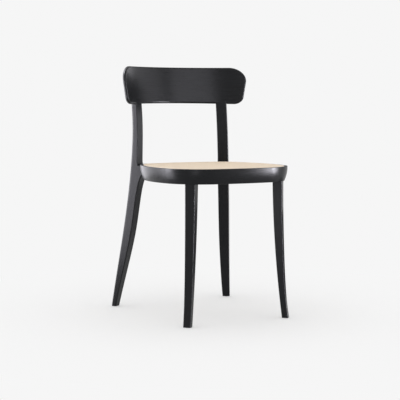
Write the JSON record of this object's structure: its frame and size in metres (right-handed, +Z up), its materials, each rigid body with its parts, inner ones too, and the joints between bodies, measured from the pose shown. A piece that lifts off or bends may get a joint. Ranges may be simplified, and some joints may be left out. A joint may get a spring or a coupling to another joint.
{
  "type": "dining chair",
  "caption": "Wooden dining chair with splayed sabre legs, a rounded seat ring holding a woven cane panel, and a curved backrest board on the raked rear posts.",
  "frame": {"origin": "on the floor, under the middle of the chair's bounding box", "axes": "+Z up, the sitter faces -Y, +X is to the right when looking along +Y at the chair's front"},
  "size_m": [0.433, 0.4874, 0.757],
  "materials": {
    "black_ash": "black-stained ash under satin lacquer, fine open grain",
    "cane": "natural woven cane, dry with a slight sheen",
    "reed": "natural reed spline, matt",
    "beech": "plain fluted-dowel beech, unfinished",
    "zinc_steel": "zinc-plated steel",
    "black_nylon": "moulded nylon, matt"
  },
  "bodies": {
    "root": {"backrest": "black_ash", "rear_leg_left": "black_ash", "rear_leg_right": "black_ash", "front_leg_left": "black_ash", "front_leg_right": "black_ash", "seat_ring_front_left": "black_ash", "seat_ring_front_right": "black_ash", "seat_ring_rear_left": "black_ash", "seat_ring_rear_right": "black_ash", "cane_webbing": "cane", "cane_spline": "reed", "ring_dowels": "beech", "backrest_dowels": "beech", "rear_leg_bolts": "zinc_steel", "bolt_washers": "zinc_steel", "rear_leg_inserts": "zinc_steel", "front_leg_screws": "zinc_steel", "glide_nails": "zinc_steel", "glide_front_left": "black_nylon", "glide_front_right": "black_nylon", "glide_rear_left": "black_nylon", "glide_rear_right": "black_nylon"}
  },
  "joints": []
}
